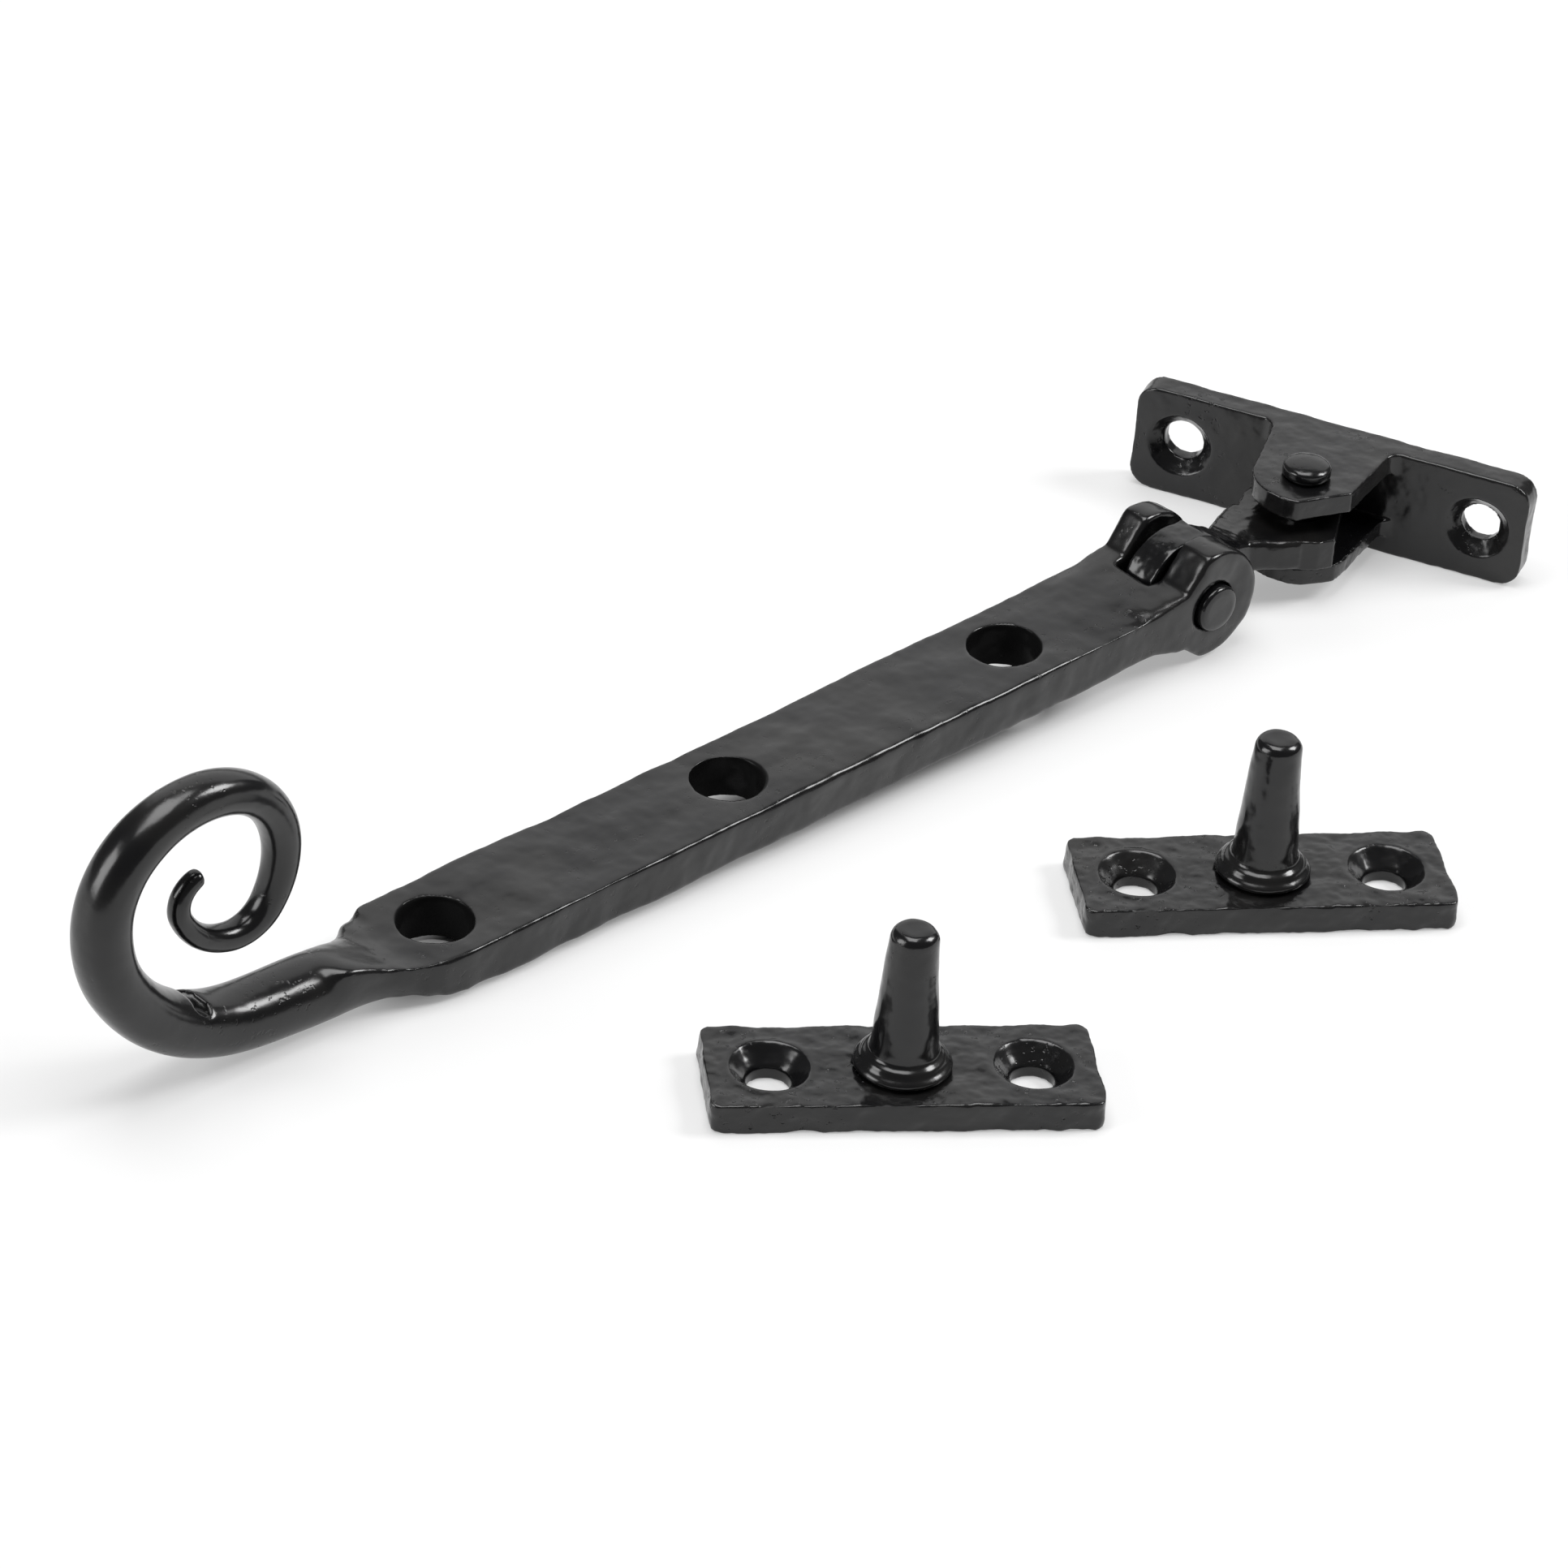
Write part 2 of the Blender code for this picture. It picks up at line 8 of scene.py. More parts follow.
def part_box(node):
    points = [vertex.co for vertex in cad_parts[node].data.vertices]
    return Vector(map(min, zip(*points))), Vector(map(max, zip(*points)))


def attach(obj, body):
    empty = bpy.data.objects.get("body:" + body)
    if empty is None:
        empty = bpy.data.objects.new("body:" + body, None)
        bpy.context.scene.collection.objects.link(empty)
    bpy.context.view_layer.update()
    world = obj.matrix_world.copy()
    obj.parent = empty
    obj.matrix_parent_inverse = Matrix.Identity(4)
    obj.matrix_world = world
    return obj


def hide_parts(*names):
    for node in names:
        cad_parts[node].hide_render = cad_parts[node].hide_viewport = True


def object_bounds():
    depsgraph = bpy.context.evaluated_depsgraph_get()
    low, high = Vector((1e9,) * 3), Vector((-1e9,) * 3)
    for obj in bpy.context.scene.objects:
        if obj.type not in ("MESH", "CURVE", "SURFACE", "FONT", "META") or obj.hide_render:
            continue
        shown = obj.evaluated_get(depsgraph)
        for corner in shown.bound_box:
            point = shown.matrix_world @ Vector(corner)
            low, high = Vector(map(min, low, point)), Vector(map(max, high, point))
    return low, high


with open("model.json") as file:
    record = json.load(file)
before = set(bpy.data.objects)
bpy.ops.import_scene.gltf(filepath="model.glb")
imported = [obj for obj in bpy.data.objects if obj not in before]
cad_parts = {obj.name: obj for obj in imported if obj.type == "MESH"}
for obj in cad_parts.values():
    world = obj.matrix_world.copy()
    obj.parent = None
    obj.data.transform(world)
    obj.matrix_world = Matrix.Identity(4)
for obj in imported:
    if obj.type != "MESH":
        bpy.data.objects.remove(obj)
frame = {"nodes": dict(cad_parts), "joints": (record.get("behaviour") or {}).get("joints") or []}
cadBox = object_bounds()
print("frame loaded:", sorted(frame["nodes"]))

mm = 0.001
joints = {joint["name"]: joint for joint in frame["joints"]}
crossAxis = Vector(joints["link_hinge"]["pos_m"])          # cross rivet through the fork
uprightAxis = Vector(joints["bracket_swivel"]["pos_m"])    # upright rivet through the bracket


# ---- small helpers for working by hand in code

def deselectAll():
    if bpy.context.object and bpy.context.object.mode != "OBJECT":
        bpy.ops.object.mode_set(mode="OBJECT")
    bpy.ops.object.select_all(action="DESELECT")


def activate(obj):
    deselectAll()
    obj.select_set(True)
    bpy.context.view_layer.objects.active = obj


def addBlock(name, low, high):
    deselectAll()
    low, high = Vector(low), Vector(high)
    bpy.ops.mesh.primitive_cube_add(size=1, location=(low + high) / 2, scale=high - low)
    obj = bpy.context.object
    obj.name = name
    bpy.ops.object.transform_apply(location=True, rotation=True, scale=True)
    return obj


def addDrum(name, radius, low, high, place=(0, 0, 0), axis="Z", sides=64, topRadius=None):
    # a cylinder or cone whose length runs from low to high along its axis
    deselectAll()
    place = Vector(place)
    along = Vector((0, 1, 0)) if axis == "Y" else Vector((0, 0, 1))
    turn = (-math.pi / 2, 0, 0) if axis == "Y" else (0, 0, 0)
    bpy.ops.mesh.primitive_cone_add(
        vertices=sides, radius1=radius, radius2=radius if topRadius is None else topRadius,
        depth=high - low, location=place + along * (low + high) / 2, rotation=turn)
    obj = bpy.context.object
    obj.name = name
    bpy.ops.object.transform_apply(location=True, rotation=True, scale=True)
    return obj


def selectInMesh(obj, kind, test):
    # edit mode with only the faces, edges or vertices that pass the test
    activate(obj)
    bpy.ops.object.mode_set(mode="EDIT")
    bpy.ops.mesh.select_mode(type=kind)
    bpy.ops.mesh.select_all(action="DESELECT")
    bpy.ops.object.mode_set(mode="OBJECT")
    mesh = obj.data
    if kind == "FACE":
        for face in mesh.polygons:
            face.select = bool(test(face.center, face.normal))
    elif kind == "EDGE":
        for edge in mesh.edges:
            a, b = (mesh.vertices[k].co for k in edge.vertices)
            edge.select = bool(test((a + b) / 2, b - a))
    else:
        for vertex in mesh.vertices:
            vertex.select = bool(test(vertex.co, vertex.normal))
    bpy.ops.object.mode_set(mode="EDIT")


def leaveMesh():
    bpy.ops.object.mode_set(mode="OBJECT")


def applyModifiers(obj):
    activate(obj)
    for modifier in list(obj.modifiers):
        bpy.ops.object.modifier_apply(modifier=modifier.name)


def combine(obj, tool, operation="DIFFERENCE"):
    modifier = obj.modifiers.new("combine", "BOOLEAN")
    modifier.operation = operation
    modifier.object = tool
    modifier.solver = "EXACT"
    applyModifiers(obj)
    bpy.data.objects.remove(tool, do_unlink=True)


def cutAway(obj, point, outward):
    # takes off what lies beyond a plane and closes the cut; the default threshold is too coarse at this size
    activate(obj)
    bpy.ops.object.mode_set(mode="EDIT")
    bpy.ops.mesh.select_all(action="SELECT")
    bpy.ops.mesh.bisect(plane_co=point, plane_no=outward, use_fill=True, clear_outer=True, threshold=1e-6)
    leaveMesh()


def growEnd(step, scale=(1, 1, 1), centre=None, turn=0.0):
    # one more length of bar on the selected end face
    bpy.ops.mesh.extrude_region_move(TRANSFORM_OT_translate={"value": step})
    if scale != (1, 1, 1):
        bpy.ops.transform.resize(value=scale, center_override=centre)
    if turn:
        bpy.ops.transform.rotate(value=turn, orient_axis="Y", center_override=centre)


def noiseTexture(name, size, depth=2):
    texture = bpy.data.textures.new(name, "CLOUDS")
    texture.noise_scale = size
    texture.noise_depth = depth
    texture.noise_basis = "IMPROVED_PERLIN"
    return texture


def forgeSurface(obj, voxel, smoothing, dents, calm=None):
    # even skin with worn edges, then shallow hammer and mould marks in the metal itself
    skin = obj.modifiers.new("skin", "REMESH")
    skin.mode = "VOXEL"
    skin.voxel_size = voxel
    skin.adaptivity = 0.0
    wear = obj.modifiers.new("wear", "SMOOTH")
    wear.factor = 0.5
    wear.iterations = smoothing
    applyModifiers(obj)
    if calm:
        # how much of the marks each place takes
        group = obj.vertex_groups.new(name="forged")
        for vertex in obj.data.vertices:
            group.add([vertex.index], calm(vertex.co), "REPLACE")
    for k, (size, depth) in enumerate(dents):
        dent = obj.modifiers.new(f"dent{k}", "DISPLACE")
        dent.texture = noiseTexture(f"{obj.name}Dent{k}", size)
        dent.texture_coords = "LOCAL"
        dent.strength = depth
        dent.mid_level = 0.57                # dents go in more than lumps stand out
        if calm:
            dent.vertex_group = "forged"
    applyModifiers(obj)
    activate(obj)
    bpy.ops.object.shade_smooth()


def settle(obj, place, turn=(0, 0, 0)):
    # puts a piece made about its own origin where it belongs, then clears the transform
    turned = Matrix.Rotation(turn[2], 4, "Z") @ Matrix.Rotation(turn[1], 4, "Y")
    obj.matrix_world = Matrix.Translation(place) @ turned
    activate(obj)
    bpy.ops.object.transform_apply(location=True, rotation=True, scale=True)


def standFlat(obj):
    # the table side is pressed flat a hair above the table
    rest = 0.03 * mm
    selectInMesh(obj, "VERT", lambda place, normal: place.z < rest)
    bpy.ops.transform.resize(value=(1, 1, 0), center_override=(0, 0, rest))
    leaveMesh()


def finishPiece(obj, node, body, material):
    standFlat(obj)
    obj.data.materials.clear()
    obj.data.materials.append(material)
    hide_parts(node)
    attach(obj, body)
    print("  made", obj.name, len(obj.data.polygons), "faces")


# ---- materials: socket maths and one node method

class Socket:
    def __init__(self, tree, link):
        self.tree, self.link = tree, link

    def maths(self, operation, other, flip=False):
        first, second = (other, self) if flip else (self, other)
        return self.tree.node("ShaderNodeMath", {"operation": operation}, {0: first, 1: second})

    def __add__(self, other):
        return self.maths("ADD", other)

    def __radd__(self, other):
        return self.maths("ADD", other, flip=True)

    def __sub__(self, other):
        return self.maths("SUBTRACT", other)

    def __rsub__(self, other):
        return self.maths("SUBTRACT", other, flip=True)

    def __mul__(self, other):
        return self.maths("MULTIPLY", other)

    def __rmul__(self, other):
        return self.maths("MULTIPLY", other, flip=True)

    def __pow__(self, other):
        return self.maths("POWER", other)


class Finish:
    # a material's node tree
    def __init__(self, name):
        self.material = bpy.data.materials.new(name)
        self.material.use_nodes = True
        self.nodes = self.material.node_tree.nodes
        self.links = self.material.node_tree.links
        self.shader = self.nodes["Principled BSDF"]

    def put(self, socket, value):
        if isinstance(value, Socket):
            self.links.new(value.link, socket)
        else:
            socket.default_value = value

    def node(self, kind, settings=None, inputs=None, output=0):
        made = self.nodes.new(kind)
        for key, value in (settings or {}).items():
            if key == "stops":
                ramp = made.color_ramp
                for k, (position, colour) in enumerate(value):
                    stop = ramp.elements[k] if k < len(ramp.elements) else ramp.elements.new(position)
                    stop.position = position
                    stop.color = colour
            else:
                setattr(made, key, value)
        for key, value in (inputs or {}).items():
            self.put(made.inputs[key], value)
        return Socket(self, made.outputs[output])

    def noise(self, size, detail=2.0, roughness=0.5, stretch=(1, 1, 1), shift=(0, 0, 0)):
        coords = self.node("ShaderNodeTexCoord", output="Object")
        placed = self.node("ShaderNodeMapping", {}, {"Vector": coords, "Scale": stretch, "Location": shift})
        return self.node("ShaderNodeTexNoise", {}, {
            "Vector": placed, "Scale": 1 / size, "Detail": detail, "Roughness": roughness}, "Fac")

    def band(self, value, low, high):
        # 0 below low, 1 above high, smooth between
        return self.node("ShaderNodeMapRange", {"interpolation_type": "SMOOTHSTEP"}, {
            "Value": value, "From Min": low, "From Max": high, "To Min": 0.0, "To Max": 1.0})

    def blend(self, factor, first, second):
        return self.node("ShaderNodeMix", {"data_type": "RGBA"}, {0: factor, 6: first, 7: second}, 2)

    def bump(self, height, distance, below=None):
        inputs = {"Height": height, "Distance": distance, "Strength": 1.0}
        if below:
            inputs["Normal"] = below
        return self.node("ShaderNodeBump", {}, inputs)

    def set(self, **values):
        for key, value in values.items():
            self.put(self.shader.inputs[key.replace("_", " ")], value)
        return self.material


enamelLook = {
    "black": (0.0035, 0.0035, 0.004, 1),
    "worn": (0.008, 0.0077, 0.0075, 1),      # where the coat is thin
    "toneSize": 14 * mm,
    "peelSize": 1.5 * mm,
    "pitSize": 0.9 * mm,
    "patchSize": 9 * mm,
    "wornBand": (0.42, 0.68),
    "patchBand": (0.45, 0.62),
    "pitBand": (0.60, 0.72),
    "pitRoughness": 0.12,
}


pegHoles = {
    "pitch": 50 * mm,
    "radius": 4.8 * mm,
    "paintedShade": (5.05 * mm, 5.35 * mm),          # the painted shade in the holes ends between these distances from a hole's middle
    "paintedShadeShare": 0.85,
    "paintedShadeBlack": (0.008, 0.008, 0.008, 1),
}


def holeShade(finish):
    # 1 inside the peg holes, where shade is painted: a matt black there stands in for their shadow
    coords = finish.node("ShaderNodeTexCoord", output="Object")
    place = finish.node("ShaderNodeVectorMath", {"operation": "SUBTRACT"}, {0: coords, 1: armPlace})
    along = finish.node("ShaderNodeSeparateXYZ", {}, {0: place}, "X")
    across = finish.node("ShaderNodeSeparateXYZ", {}, {0: place}, "Y")
    pitch = pegHoles["pitch"]
    nearest = finish.node("ShaderNodeMath", {"operation": "SNAP"}, {0: along + pitch / 2, 1: pitch})
    nearest = finish.node("ShaderNodeClamp", {}, {"Value": nearest, "Min": -pitch, "Max": pitch})
    off = along - nearest
    apart = (off * off + across * across) ** 0.5
    return 1 - finish.band(apart, *pegHoles["paintedShade"])


def blackEnamel(name, roughness, roughnessSpread, hammer, hammerSize, peel, pits,
                stretch=(1, 1, 1), holes=False):
    # glossy black coat; hammer, peel and pits are the depths of its three sizes of bump
    finish = Finish(name)
    tone = finish.noise(enamelLook["toneSize"], 3, 0.55, stretch)
    hammered = finish.noise(hammerSize, 2, 0.45, stretch)
    orangePeel = finish.noise(enamelLook["peelSize"], 1, 0.4)
    grains = finish.noise(enamelLook["pitSize"], 2, 0.6, shift=(3, 1, 2))
    patches = finish.noise(enamelLook["patchSize"], 1, 0.5, shift=(1, 5, 2))
    pitMask = finish.band(grains, *enamelLook["pitBand"]) * finish.band(patches, *enamelLook["patchBand"])
    lie = finish.bump(hammered, hammer)
    lie = finish.bump(orangePeel, peel, lie)
    lie = finish.bump(1 - pitMask, pits, lie)
    gloss = roughness + (tone - 0.5) * roughnessSpread + pitMask * enamelLook["pitRoughness"]
    colour = finish.blend(finish.band(tone, *enamelLook["wornBand"]), enamelLook["black"], enamelLook["worn"])
    finish.set(Base_Color=colour, Roughness=gloss, Metallic=0.0, IOR=1.5, Normal=lie)
    # painted shade: a matt black is mixed over the enamel inside the peg holes
    if holes:
        paintedShade = finish.node("ShaderNodeBsdfDiffuse", {}, {"Color": pegHoles["paintedShadeBlack"]})
        share = holeShade(finish) * pegHoles["paintedShadeShare"]
        enamel = Socket(finish, finish.shader.outputs["BSDF"])
        mixed = finish.node("ShaderNodeMixShader", {}, {0: share, 1: enamel, 2: paintedShade})
        finish.put(finish.nodes["Material Output"].inputs["Surface"], mixed)
    return finish.material


armPitch = math.radians(1.83)
armPivot = Vector((82.1, 0, 0.8)) * mm                     # cross rivet in the arm's own frame
# middle peg hole, in the middle of the bar
armPlace = crossAxis - Matrix.Rotation(-armPitch, 3, "Y") @ armPivot

print("mixing finishes")
forgedEnamelHoleShade = blackEnamel("forgedEnamelHoleShade", 0.21, 0.12, 0.16 * mm, 6 * mm, 0.02 * mm, 0.03 * mm,
                           (0.8, 1, 1), holes=True)
castEnamel = blackEnamel("castEnamel", 0.22, 0.12, 0.16 * mm, 3.5 * mm, 0.02 * mm, 0.06 * mm)
plateEnamel = blackEnamel("plateEnamel", 0.21, 0.12, 0.24 * mm, 3.5 * mm, 0.025 * mm, 0.06 * mm)
turnedEnamel = blackEnamel("turnedEnamel", 0.19, 0.08, 0.10 * mm, 5 * mm, 0.012 * mm, 0.012 * mm)


# ---- stay arm: flat bar, neck, curl and fork, forged in one

arm = {
    "halfWidth": 8.45 * mm,
    "halfThick": 3.25 * mm,
    "forkX": 80 * mm,
    "forkHalfThick": 6.3 * mm,               # the bar swells into the ears
    "swellX": 72 * mm,
    "shoulderX": -47 * mm,
    # the near lower edge lets go step by step: from, to and crease
    "lettingGo": [(-51.0, -47.0, 0.85), (-54.5, -51.0, 0.60), (-57.3, -54.5, 0.38), (-60.0, -57.3, 0.22)],
    "farStep": (-57.3 * mm, 0.3),            # where the far side steps in, and how sharply
    "sharpEnd": -60 * mm,
    "ridgeEnd": -71 * mm,
    "ridgeHeight": (3 * mm, 9 * mm),
    "ridgeCrease": 0.65,
    "neckCrease": 0.09,
    # along, near and far half widths, half height and rise of the middle
    "shoulder": [(-51.0, 8.4, 8.45, 3.25, 0.0), (-54.5, 8.1, 8.45, 3.22, 0.02), (-57.3, 7.4, 8.3, 3.25, 0.08),
                 (-59.2, 6.8, 7.9, 3.35, 0.22), (-60.6, 6.3, 7.1, 3.5, 0.45), (-62.8, 5.8, 6.1, 3.8, 0.85),
                 (-66.1, 5.4, 5.5, 4.4, 1.5), (-70.0, 5.1, 5.05, 4.8, 1.75)],
    "fold": (-89.4 * mm, -0.4 * mm, 9.3 * mm),   # small crease where the neck turns up
    "neckStart": (-66.1 * mm, 1.5 * mm),
    "neckSlope": math.radians(3.8),
    "neckLength": 13.8 * mm,
    "neckClearX": -73 * mm,                  # the curl's own stations start here
    # radius and turn of each bend of the curl
    "bends": [(25.5, 57), (19, 34), (13, 50), (15, 55), (13, 104), (6, 66), (10, 58), (3.8, 108)],
    "rootRadius": 4.55 * mm,
    "tipRadius": 1.25 * mm,
    "taper": 1.5,
    "cageSwell": 1.075,                      # the cage stands outside the round bar it makes
    "earRadius": 8.4 * mm,
    "earHalfWidth": 8.5 * mm,
    "facetX": 75.7 * mm,
    "facetTurn": math.radians(100),
    "slotX": 74.7 * mm,
    "slotSides": (-2.8 * mm, 4.0 * mm),
    "boreRadius": 3.5 * mm,
}


def curlStations():
    # place, heading and radius along the neck and curl, a point every 12 degrees or so
    runs = [(0.0, arm["neckLength"], 3)]     # straight neck, then the bends
    for radius, turn in arm["bends"]:
        runs.append((1 / (radius * mm), radius * mm * math.radians(turn), max(2, round(turn / 12))))
    total = sum(length for curvature, length, count in runs)
    x, z = arm["neckStart"]
    heading = math.pi - arm["neckSlope"]
    travelled = 0.0
    stations = []
    for curvature, length, count in runs:
        step = length / count
        for k in range(count):
            heading -= curvature * step / 2
            x += step * math.cos(heading)
            z += step * math.sin(heading)
            heading -= curvature * step / 2
            travelled += step
            fade = 1 - (travelled / total) ** arm["taper"]
            radius = arm["tipRadius"] + (arm["rootRadius"] - arm["tipRadius"]) * fade
            if x < arm["neckClearX"] or heading < math.pi / 2:
                stations.append((Vector((x, 0, z)), heading, radius))
    return stations


def makeArm():
    print("forging the arm")
    halfWidth, halfThick = arm["halfWidth"], arm["halfThick"]
    bar = addBlock("stayArm", (arm["shoulderX"], -halfWidth, -halfThick),
                   (arm["swellX"], halfWidth, halfThick))

    # swell into the fork
    selectInMesh(bar, "FACE", lambda centre, normal: normal.x > 0.9)
    swell = arm["forkHalfThick"] / halfThick
    growEnd((arm["forkX"] - arm["swellX"], 0, 0), (1, 1, swell), (arm["forkX"], 0, 0))
    leaveMesh()

    # shoulder, neck and curl: the far side steps in, the near side runs on into the neck
    selectInMesh(bar, "FACE", lambda centre, normal: normal.x < -0.9)
    end = Vector((arm["shoulderX"], 0, 0))
    width, height = halfWidth, halfThick
    for x, near, far, newHeight, rise in arm["shoulder"]:
        following = Vector((x, (far - near) / 2, rise)) * mm
        newWidth, newHeight = (near + far) / 2 * mm, newHeight * mm
        growEnd(following - end, (1, newWidth / width, newHeight / height), following)
        end, width, height = following, newWidth, newHeight
    heading = math.pi
    size = arm["rootRadius"]
    for place, newHeading, radius in curlStations():
        scale = radius / size
        growEnd(place - end, (scale, scale, scale), place, newHeading - heading)
        end, heading, size = place, newHeading, radius
    leaveMesh()

    # sharp along the bar, softer along the neck and curl; the near lower edge lets go first
    sharpEnd, ridgeEnd, shoulderX = arm["sharpEnd"], arm["ridgeEnd"], arm["shoulderX"]
    ridgeLow, ridgeHigh = arm["ridgeHeight"]
    stepX, stepCrease = arm["farStep"]

    def nearLow(place):
        return place.y < 0 and place.z < 0

    def creaseRuns(crease, where):
        # only the edges that run along the bar, not the rings across it
        selectInMesh(bar, "EDGE", lambda middle, run:
                     where(middle) and abs(run.y) < abs(run.x) / 2 + abs(run.z) / 2)
        bpy.ops.transform.edge_crease(value=crease)
        leaveMesh()

    creaseRuns(1.0, lambda place: place.x > stepX and not (nearLow(place) and place.x < shoulderX))
    creaseRuns(1.0, lambda place: sharpEnd < place.x < stepX and place.y < 0 and place.z > 0)
    creaseRuns(stepCrease, lambda place: sharpEnd < place.x < stepX and place.y > 0)
    for low, high, crease in arm["lettingGo"]:
        creaseRuns(crease, lambda place: low * mm < place.x < high * mm and nearLow(place))
    creaseRuns(arm["ridgeCrease"], lambda place:
               ridgeEnd < place.x <= sharpEnd and place.y < 0 and ridgeLow < place.z < ridgeHigh)
    creaseRuns(arm["neckCrease"], lambda place:
               place.x <= sharpEnd and not (place.x > ridgeEnd and place.y < 0 and place.z > ridgeLow))
    rounding = bar.modifiers.new("rounding", "SUBSURF")
    rounding.levels = rounding.render_levels = 3
    arris = bar.modifiers.new("arris", "BEVEL")
    arris.width = 0.75 * mm
    arris.segments = 2
    arris.limit_method = "ANGLE"
    arris.angle_limit = math.radians(60)
    applyModifiers(bar)

    # ears with flat facets up from the bar
    pivotX, pivotZ = armPivot.x, armPivot.z
    ears = addDrum("ears", arm["earRadius"], -arm["earHalfWidth"], arm["earHalfWidth"],
                   (pivotX, 0, pivotZ), "Y", 96)
    for side in (1, -1):
        facetLow = Vector((arm["facetX"], 0, side * halfThick))
        facetHigh = Vector((pivotX + arm["earRadius"] * math.cos(arm["facetTurn"]), 0,
                            pivotZ + side * arm["earRadius"] * math.sin(arm["facetTurn"])))
        run = facetHigh - facetLow
        cutAway(ears, facetLow, Vector((-side * run.z, 0, side * run.x)))
    rim = arm["earHalfWidth"] - 0.1 * mm
    selectInMesh(ears, "EDGE", lambda middle, run: abs(middle.y) > rim and middle.x > arm["facetX"])
    bpy.ops.mesh.bevel(offset=0.7 * mm, segments=3)
    leaveMesh()
    combine(bar, ears, "UNION")

    reach = 20 * mm
    nearSide, farSide = arm["slotSides"]
    slot = addBlock("slot", (arm["slotX"], nearSide, -reach), (arm["slotX"] + reach, farSide, reach))
    combine(bar, slot)
    combine(bar, addDrum("bore", arm["boreRadius"], -reach, reach, (pivotX, 0, pivotZ), "Y"))
    for k in (-1, 0, 1):
        combine(bar, addDrum("pegHole", pegHoles["radius"], -reach, reach, (k * pegHoles["pitch"], 0, 0)))

    fold = addBlock("fold", (-1.2 * mm, -3.6 * mm, -1.2 * mm), (1.2 * mm, 3.2 * mm, 1.2 * mm))
    settle(fold, arm["fold"], (0, math.radians(40), math.radians(14)))
    combine(bar, fold)
    # hammered along the bar, drawn smooth in the curl
    forgeSurface(bar, 0.36 * mm, 10, [(17 * mm, 1.4 * mm), (6 * mm, 0.5 * mm), (2 * mm, 0.10 * mm)],
                 lambda place: 0.12 + 0.88 * min(1.0, max(0.0, (place.x + 72 * mm) / (14 * mm))))
    settle(bar, armPlace, (0, -armPitch, 0))
    finishPiece(bar, "stay_arm", "arm", forgedEnamelHoleShade)
    return bar


makeArm()


# ---- cross rivet: a plain shank peened over a little at each end

def ringUp(name, profile, sides=96):
    # a round piece grown ring by ring from a disc: each step is (height, radius)
    deselectAll()
    low, radius = profile[0]
    bpy.ops.mesh.primitive_circle_add(vertices=sides, radius=radius, fill_type="NGON", location=(0, 0, low))
    obj = bpy.context.object
    obj.name = name
    bpy.ops.object.transform_apply(location=True, rotation=True, scale=True)
    bpy.ops.object.mode_set(mode="EDIT")
    bpy.ops.mesh.select_all(action="SELECT")
    for height, newRadius in profile[1:]:
        share = newRadius / radius
        growEnd((0, 0, height - low), (share, share, 1), (0, 0, height))
        low, radius = height, newRadius
    bpy.ops.mesh.select_all(action="SELECT")
    bpy.ops.mesh.normals_make_consistent(inside=False)
    leaveMesh()
    return obj


def dome(radius, base, height, tilts=(12, 25, 38, 50, 61, 71, 80, 86)):
    angles = [math.radians(tilt) for tilt in tilts]
    return [(base + height * math.sin(angle), radius * math.cos(angle)) for angle in angles]


crossRivet = {
    "radius": 3.4 * mm,
    "reach": 9.7 * mm,          # a little proud of the ears
    "crown": 0.5 * mm,
    "peened": [(0.0, 0.72), (0.3, 0.93), (1.0, 1.0)],    # shares of the crown and radius, from the end in
}


def makeCrossRivet():
    radius, reach, crown = crossRivet["radius"], crossRivet["reach"], crossRivet["crown"]
    profile = [(-reach + crown * depth, radius * share) for depth, share in crossRivet["peened"]]
    profile += [(-height, ring) for height, ring in reversed(profile)]
    rivet = ringUp("crossRivet", profile)
    activate(rivet)
    bpy.ops.transform.rotate(value=math.pi / 2, orient_axis="X", center_override=(0, 0, 0))
    bpy.ops.object.transform_apply(location=True, rotation=True, scale=True)
    forgeSurface(rivet, 0.18 * mm, 3, [(3 * mm, 0.10 * mm)])
    settle(rivet, crossAxis)
    finishPiece(rivet, "arm_rivet", "arm", turnedEnamel)


print("peening the cross rivet")
makeCrossRivet()


# ---- swivel link: an upright eye in the fork, a twisted neck and a flat eye in the bracket

link = {
    "length": 25.7 * mm,
    "eyeRadius": 7.25 * mm,
    "eyeHalfThick": 2.5 * mm,
    "eyeEndX": 3.6 * mm,
    # along the link, near and far half widths, half height and how far the middle drops
    "neck": [(3.2, 2.35, 2.35, 7.0, 0.0), (5.2, 2.4, 2.4, 6.3, 0.0), (7.4, 2.5, 2.6, 5.2, 0.05),
             (9.2, 2.5, 3.2, 3.9, 0.2), (11.2, 2.3, 4.3, 3.0, 0.35), (13.4, 2.3, 5.5, 2.5, 0.4),
             (15.4, 3.5, 6.5, 2.35, 0.4), (17.4, 5.1, 7.3, 2.35, 0.4), (19.5, 6.2, 7.6, 2.35, 0.4)],
    "flatRadius": 8.8 * mm,
    "flatLow": -2.75 * mm,
    "flatHigh": 1.95 * mm,
    "crossBore": 3.65 * mm,
    "uprightBore": 2.9 * mm,
    # flats struck on the round of the flat eye: side, distance from its axis
    "flats": [(-130, 8.5), (-106, 8.45), (-52, 5.5)],
}


